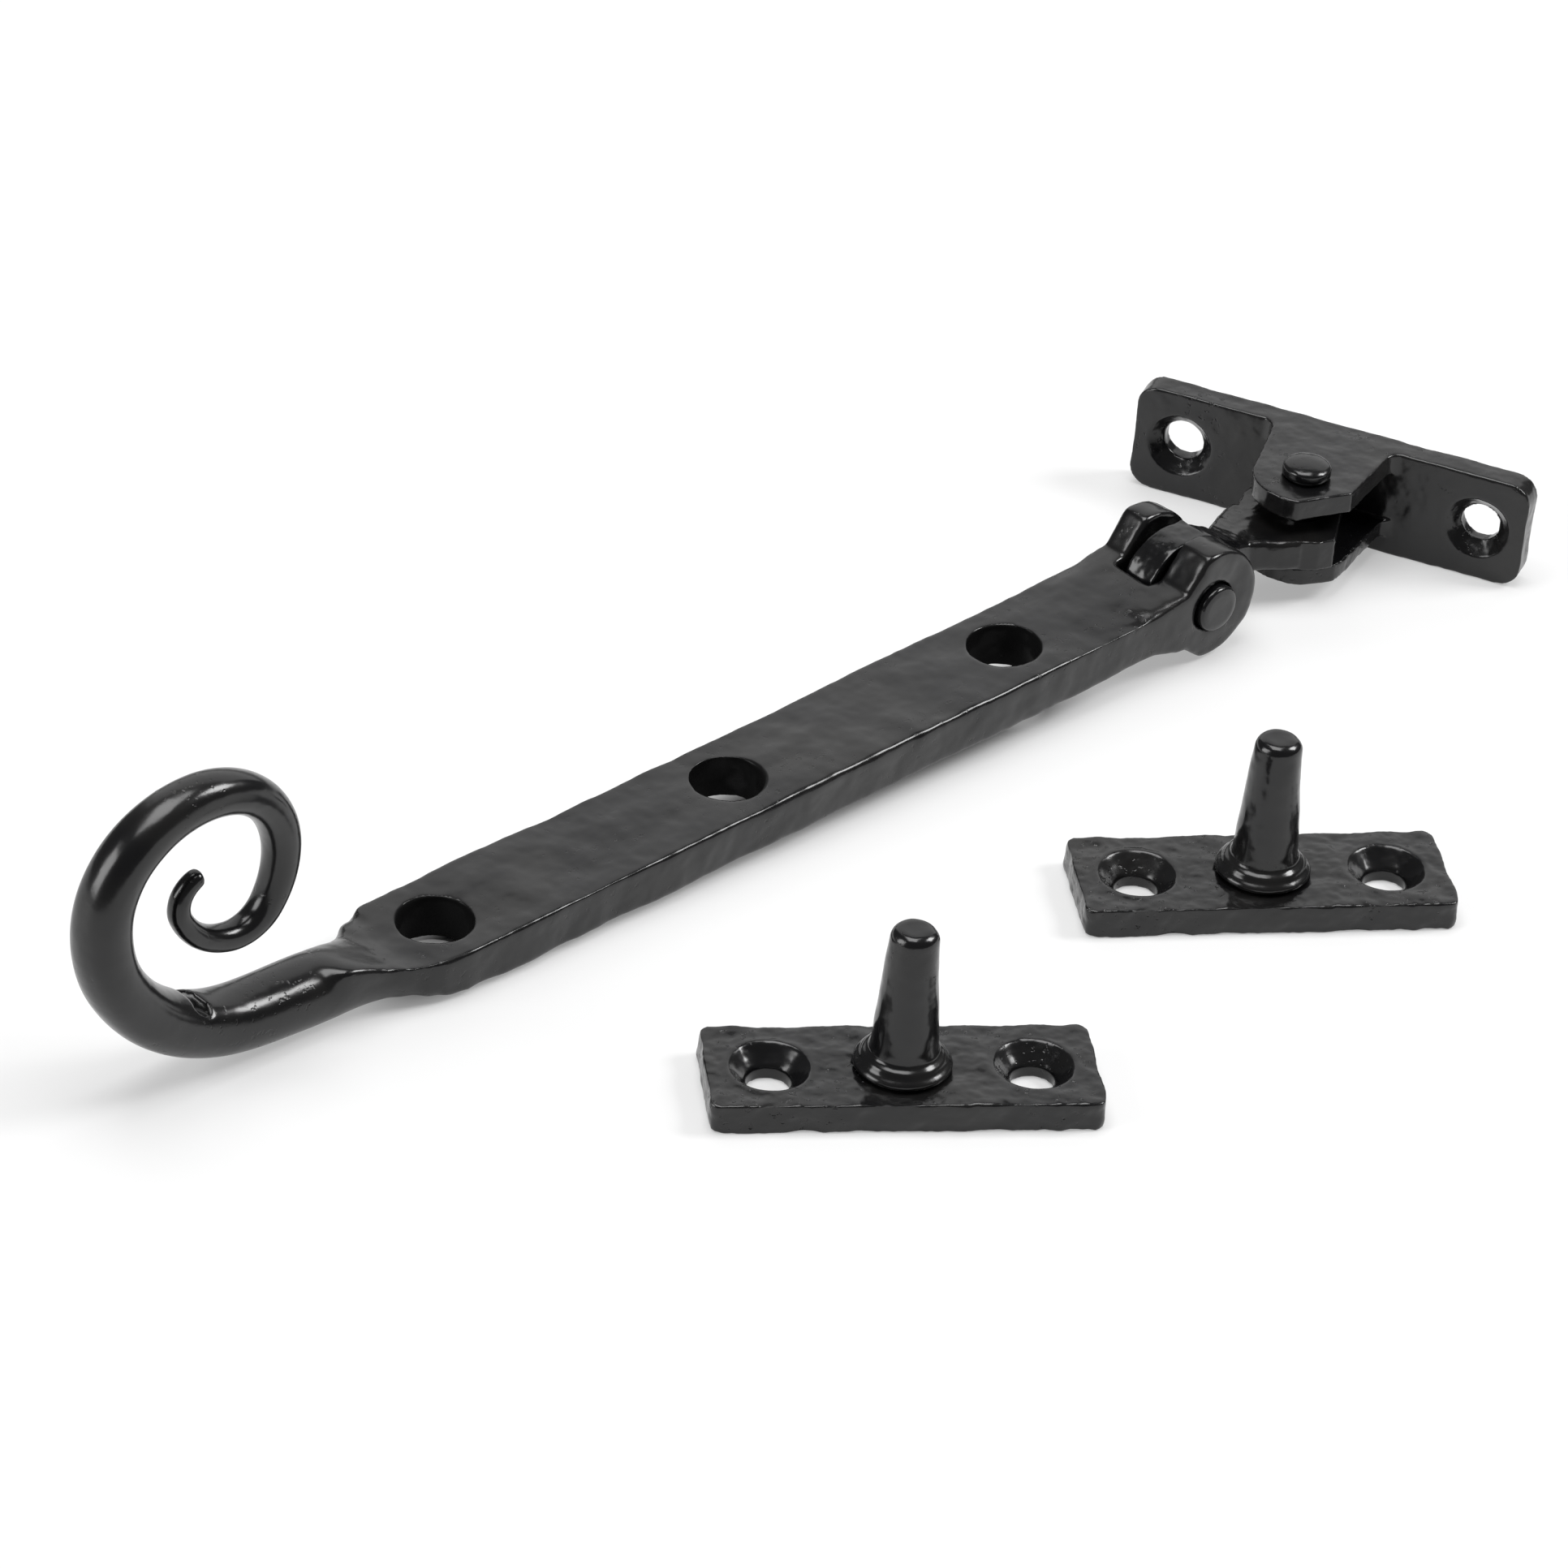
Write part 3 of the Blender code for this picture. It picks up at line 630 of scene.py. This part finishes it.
def makeLink():
    print("forging the link")
    halfThick = link["eyeHalfThick"]
    eye = addDrum("swivelLink", link["eyeRadius"], -halfThick, halfThick, axis="Y", sides=96)
    inside = 0.01 * mm                       # keeps its sides off the drum's
    shoulder = addBlock("shoulder", (0, -halfThick + inside, -link["eyeRadius"]),
                        (link["eyeEndX"], halfThick - inside, link["eyeRadius"]))
    combine(eye, shoulder, "UNION")

    x, near, far, height, drop = (value * mm for value in link["neck"][0])
    neck = addBlock("neck", (x - 2 * mm, -near, -height), (x, far, height))
    selectInMesh(neck, "FACE", lambda centre, normal: normal.x > 0.9)
    for station in link["neck"][1:]:
        newX, newNear, newFar, newHeight, newDrop = (value * mm for value in station)
        centre = Vector((newX, (newFar - newNear) / 2, -newDrop))
        step = centre - Vector((x, (far - near) / 2, -drop))
        growEnd(step, (1, (newNear + newFar) / (near + far), newHeight / height), centre)
        x, near, far, height, drop = newX, newNear, newFar, newHeight, newDrop
    leaveMesh()
    selectInMesh(neck, "EDGE", lambda middle, run: abs(run.x) > 0.3 * mm)
    bpy.ops.mesh.bevel(offset=1.0 * mm, segments=3)
    leaveMesh()
    combine(eye, neck, "UNION")

    flatEye = addDrum("flatEye", link["flatRadius"], link["flatLow"], link["flatHigh"],
                      (link["length"], 0, 0), sides=96)
    for angle, distance in link["flats"]:
        outward = Vector((math.cos(math.radians(angle)), math.sin(math.radians(angle)), 0))
        cutAway(flatEye, Vector((link["length"], 0, 0)) + outward * distance * mm, outward)
    combine(eye, flatEye, "UNION")
    reach = 12 * mm
    combine(eye, addDrum("crossBore", link["crossBore"], -reach, reach, axis="Y"))
    combine(eye, addDrum("uprightBore", link["uprightBore"], -reach, reach, (link["length"], 0, 0)))
    forgeSurface(eye, 0.20 * mm, 5, [(3.5 * mm, 0.5 * mm), (1.4 * mm, 0.08 * mm)])
    settle(eye, crossAxis)
    finishPiece(eye, "swivel_link", "link", turnedEnamel)


makeLink()


# ---- bracket: cast plate with two lugs

bracket = {
    "turn": math.radians(24.8 - 90),
    "length": 58.6 * mm,
    "height": 16.4 * mm,
    "thick": 4.0 * mm,
    "setback": 11.8 * mm,
    "corner": 3.2 * mm,
    "lugRadius": 7.5 * mm,
    "lugRootHalf": 8.6 * mm,
    "flare": 1.8 * mm,
    # underside and top of each lug, and flats along its nose: two points each
    "lugs": [(13.2 * mm, 16.4 * mm, [((-2.6, -6.9), (1.6, -7.2)), ((1.6, -7.2), (6.3, -4.1))]),
             (2.9 * mm, 5.5 * mm, [((3.4, -6.7), (6.8, -3.2))])],
    "bore": 2.9 * mm,
    "holeSpacing": 44.6 * mm,
    "holeRadius": 2.9 * mm,
    "sinkRadius": 4.8 * mm,
}


def makeLug(low, high, flats):
    radius, root = bracket["lugRadius"], bracket["setback"]
    lug = addBlock("lug", (-radius, 0, low), (radius, root - bracket["flare"], high))
    selectInMesh(lug, "FACE", lambda centre, normal: normal.y > 0.9)
    bpy.ops.transform.resize(value=(bracket["lugRootHalf"] / radius, 1, 1), center_override=(0, root, low))
    half, y = bracket["lugRootHalf"], root - bracket["flare"]
    for tilt in (20, 40, 60, 78):
        # concave flare into the plate
        angle = math.radians(tilt)
        newHalf = bracket["lugRootHalf"] + bracket["flare"] * (1 - math.cos(angle))
        newY = root - bracket["flare"] * (1 - math.sin(angle))
        growEnd((0, newY - y, 0), (newHalf / half, 1, 1), (0, newY, low))
        half, y = newHalf, newY
    growEnd((0, 1.2 * mm, 0))
    leaveMesh()
    nose = addDrum("nose", radius, low, high, sides=96)
    for (a, b), (c, d) in flats:
        outward = Vector((d - b, a - c, 0))
        point = Vector((a, b, 0)) * mm
        cutAway(nose, point, outward if outward.dot(point) > 0 else -outward)
    combine(lug, nose, "UNION")
    return lug


def makeBracket():
    print("casting the bracket")
    half, setback, height = bracket["length"] / 2, bracket["setback"], bracket["height"]
    plate = addBlock("bracketPlate", (-half, setback, 0), (half, setback + bracket["thick"], height))
    selectInMesh(plate, "EDGE", lambda middle, run: abs(run.y) > bracket["thick"] / 2)
    bpy.ops.mesh.bevel(offset=bracket["corner"], segments=8)
    leaveMesh()
    for low, high, flats in bracket["lugs"]:
        combine(plate, makeLug(low, high, flats), "UNION")
    combine(plate, addDrum("bore", bracket["bore"], -10 * mm, 30 * mm))
    for side in (-1, 1):
        place = (side * bracket["holeSpacing"] / 2, setback, height / 2)
        combine(plate, addDrum("hole", bracket["holeRadius"], -5 * mm, 15 * mm, place, "Y"))
        depth = bracket["sinkRadius"] - bracket["holeRadius"]
        combine(plate, addDrum("sink", bracket["sinkRadius"] + 0.5 * mm, -0.5 * mm, depth, place, "Y",
                               topRadius=bracket["holeRadius"]))
    forgeSurface(plate, 0.25 * mm, 3, [(9 * mm, 0.6 * mm), (2.6 * mm, 0.28 * mm)])
    settle(plate, (uprightAxis.x, uprightAxis.y, 0), (0, 0, bracket["turn"]))
    finishPiece(plate, "bracket", "bracket", castEnamel)


makeBracket()

uprightRivet = {
    "shank": 2.6 * mm,
    "foot": (1.9 * mm, 2.6 * mm),
    "footRadius": 3.1 * mm,
    "headLow": 16.6 * mm,
    "headRadius": 3.45 * mm,
    "headHeight": 2.2 * mm,
}


def makeUprightRivet():
    footLow, footHigh = uprightRivet["foot"]
    shank, head, low = uprightRivet["shank"], uprightRivet["headRadius"], uprightRivet["headLow"]
    wall = uprightRivet["headHeight"] * 0.6
    profile = [(footLow, shank), (footHigh - 0.2 * mm, uprightRivet["footRadius"]), (footHigh, shank)]
    profile += [(low, shank), (low + 0.05 * mm, head * 0.97), (low + wall * 0.35, head)]
    profile += [(low + wall, head * 0.985)]
    profile += dome(head * 0.96, low + wall, uprightRivet["headHeight"] - wall)
    rivet = ringUp("uprightRivet", profile)
    forgeSurface(rivet, 0.14 * mm, 2, [(2.5 * mm, 0.10 * mm)])
    settle(rivet, (uprightAxis.x, uprightAxis.y, 0))
    finishPiece(rivet, "bracket_rivet", "bracket", turnedEnamel)


print("heading the upright rivet")
makeUprightRivet()


# ---- stay pins: a cast screw plate with a tapered peg riveted through it

pin = {
    "length": 49.7 * mm,
    "width": 17.3 * mm,
    "thick": 4.25 * mm,
    "corner": 1.5 * mm,
    "holeSpacing": 33.3 * mm,
    "holeRadius": 2.8 * mm,
    "sinkRadius": 5.2 * mm,
    "pegBore": 3.3 * mm,
    "shank": 3.0 * mm,
    "collar": [(0.0, 6.1), (0.15, 6.35), (0.7, 6.3), (1.05, 5.95), (1.3, 5.55), (1.65, 5.45), (2.0, 5.15),
               (2.2, 4.75), (2.5, 4.5), (3.4, 4.33)],
    "pegTop": 3.1 * mm,
    "pegRound": 1.5 * mm,
    "pegHeight": 20.7 * mm,
    "turns": {"tail": -36.1, "fork": -34.3},
}


def makePinPlate():
    half, width, thick = pin["length"] / 2, pin["width"] / 2, pin["thick"]
    plate = addBlock("pinPlate", (-half, -width, 0), (half, width, thick))
    selectInMesh(plate, "EDGE", lambda middle, run: abs(run.z) > thick / 2)
    bpy.ops.mesh.bevel(offset=pin["corner"], segments=7)
    leaveMesh()
    combine(plate, addDrum("bore", pin["pegBore"], -5 * mm, 12 * mm))
    for side in (-1, 1):
        place = (side * pin["holeSpacing"] / 2, 0, 0)
        combine(plate, addDrum("hole", pin["holeRadius"], -5 * mm, 12 * mm, place))
        depth = pin["sinkRadius"] - pin["holeRadius"]
        combine(plate, addDrum("sink", pin["holeRadius"], thick - depth, thick + 0.5 * mm, place,
                               topRadius=pin["sinkRadius"] + 0.5 * mm))
    spacing = pin["holeSpacing"] / 2
    forgeSurface(plate, 0.26 * mm, 11, [(8 * mm, 1.1 * mm), (2.8 * mm, 0.6 * mm)], lambda place: min(1.0, max(
        0.25, (math.hypot(abs(place.x) - spacing, place.y) - pin["sinkRadius"]) / mm)))
    return plate


def makePeg():
    # shank through the plate, stepped collar, then the taper and a flat-domed top
    seat = pin["thick"] + 0.25 * mm
    profile = [(0.4 * mm, pin["shank"] * 0.9), (0.7 * mm, pin["shank"]), (seat, pin["shank"])]
    profile += [(seat + up * mm, radius * mm) for up, radius in pin["collar"]]
    rounding = pin["pegRound"]
    top = pin["thick"] + pin["pegHeight"] - rounding
    low, base = profile[-1]
    for share in (0.2, 0.4, 0.6, 0.8, 1.0):
        profile.append((low + (top - low) * share, base + (pin["pegTop"] - base) * share))
    for tilt in (15, 30, 45, 60, 75, 88):
        angle = math.radians(tilt)
        profile.append((top + rounding * math.sin(angle), pin["pegTop"] - rounding * (1 - math.cos(angle))))
    peg = ringUp("peg", profile)
    forgeSurface(peg, 0.20 * mm, 4, [(6 * mm, 0.5 * mm), (2.2 * mm, 0.08 * mm)])
    return peg


def placeCopy(original, name, node, body, material, place, turn):
    copy = original.copy()
    copy.data = original.data.copy()
    copy.name = name
    bpy.context.scene.collection.objects.link(copy)
    settle(copy, place, (0, 0, turn))
    finishPiece(copy, node, body, material)


print("casting the pins")
pinPlate, peg = makePinPlate(), makePeg()
for which, turn in pin["turns"].items():
    low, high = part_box(f"{which}_pin_peg")
    place = ((low.x + high.x) / 2, (low.y + high.y) / 2, 0)
    turn, body = math.radians(turn), f"{which}_pin"
    placeCopy(pinPlate, f"{which}PinPlate", f"{body}_plate", body, plateEnamel, place, turn)
    placeCopy(peg, f"{which}Peg", f"{body}_peg", body, turnedEnamel, place, turn)
for original in (pinPlate, peg):
    bpy.data.objects.remove(original, do_unlink=True)


# ---- camera, lights and floor

view = {
    "place": Vector((-540.0, -510.1, 508.2)) * mm,
    "azimuth": 0.790,                        # looks this far from +Y towards +X
    "pitch": 0.589,
    "roll": 0.089,
    "lens": 158.2,
}


def addCamera():
    forward = Vector((
        math.sin(view["azimuth"]) * math.cos(view["pitch"]),
        math.cos(view["azimuth"]) * math.cos(view["pitch"]),
        -math.sin(view["pitch"])))
    level = Vector((math.cos(view["azimuth"]), -math.sin(view["azimuth"]), 0))
    upright = level.cross(forward)
    right = math.cos(view["roll"]) * level + math.sin(view["roll"]) * upright
    up = math.cos(view["roll"]) * upright - math.sin(view["roll"]) * level
    data = bpy.data.cameras.new("studioCamera")
    data.lens = view["lens"]
    data.sensor_width = 36
    data.clip_start = 0.01
    camera = bpy.data.objects.new("studioCamera", data)
    bpy.context.scene.collection.objects.link(camera)
    turn = Matrix((right, up, -forward)).transposed()
    camera.matrix_world = Matrix.Translation(view["place"]) @ turn.to_4x4()
    bpy.context.scene.camera = camera


studio = {
    "skyStrength": 0.13,                     # a dim room behind the camera
    "floorWhite": 0.45,
    "floorGlow": 0.38,                       # the table is lit from below too
    # place, width and height, and power of each soft light
    "lights": [
        ("backSoftbox", (1.55, 1.5, 1.35), (3.4, 2.2), 20.0),
        ("topSoftbox", (-0.1, 0.1, 1.4), (0.9, 0.9), 15.0),
        ("leftSoftbox", (-1.25, 0.55, 0.6), (0.6, 0.9), 10.0),
        ("edgeStrip", (0.82, -0.50, 0.92), (0.42, 0.5), 11.0),
    ],
}


def addStudio():
    world = bpy.data.worlds.new("paleRoom")
    bpy.context.scene.world = world
    world.use_nodes = True
    world.node_tree.nodes["Background"].inputs["Color"].default_value = (1, 1, 1, 1)
    world.node_tree.nodes["Background"].inputs["Strength"].default_value = studio["skyStrength"]
    bpy.context.scene.view_settings.view_transform = "Standard"
    for name, place, size, power in studio["lights"]:
        deselectAll()
        bpy.ops.object.light_add(type="AREA", location=place)
        light = bpy.context.object
        light.name = name
        light.data.shape = "RECTANGLE"
        light.data.size, light.data.size_y = size
        light.data.energy = power
        light.rotation_euler = (-Vector(place)).to_track_quat("-Z", "Y").to_euler()
    deselectAll()
    bpy.ops.mesh.primitive_plane_add(size=6, location=(0, 0, cadBox[0].z))
    floor = bpy.context.object
    floor.name = "floor"
    finish = Finish("paleFloor")
    white = studio["floorWhite"]
    # painted shadow: no glow under the bar, so the floor there is darker
    coords = finish.node("ShaderNodeTexCoord", output="Object")
    offset = finish.node("ShaderNodeVectorMath", {"operation": "SUBTRACT"}, {0: coords, 1: armPlace})
    offset = finish.node("ShaderNodeVectorMath", {"operation": "ABSOLUTE"}, {0: offset})
    along = finish.node("ShaderNodeSeparateXYZ", {}, {0: offset}, "X")
    across = finish.node("ShaderNodeSeparateXYZ", {}, {0: offset}, "Y")
    paintedShadow = (1 - finish.band(across, 3 * mm, 9 * mm)) * (1 - finish.band(along, 50 * mm, 66 * mm))
    glow = (1 - paintedShadow) * studio["floorGlow"]
    finish.set(Base_Color=(white, white, white, 1), Roughness=0.6, Specular_IOR_Level=0.2,
               Emission_Color=finish.blend(glow, (0, 0, 0, 1), (1, 1, 1, 1)), Emission_Strength=1.0)
    floor.data.materials.append(finish.material)


print("setting up the studio")
addCamera()
addStudio()
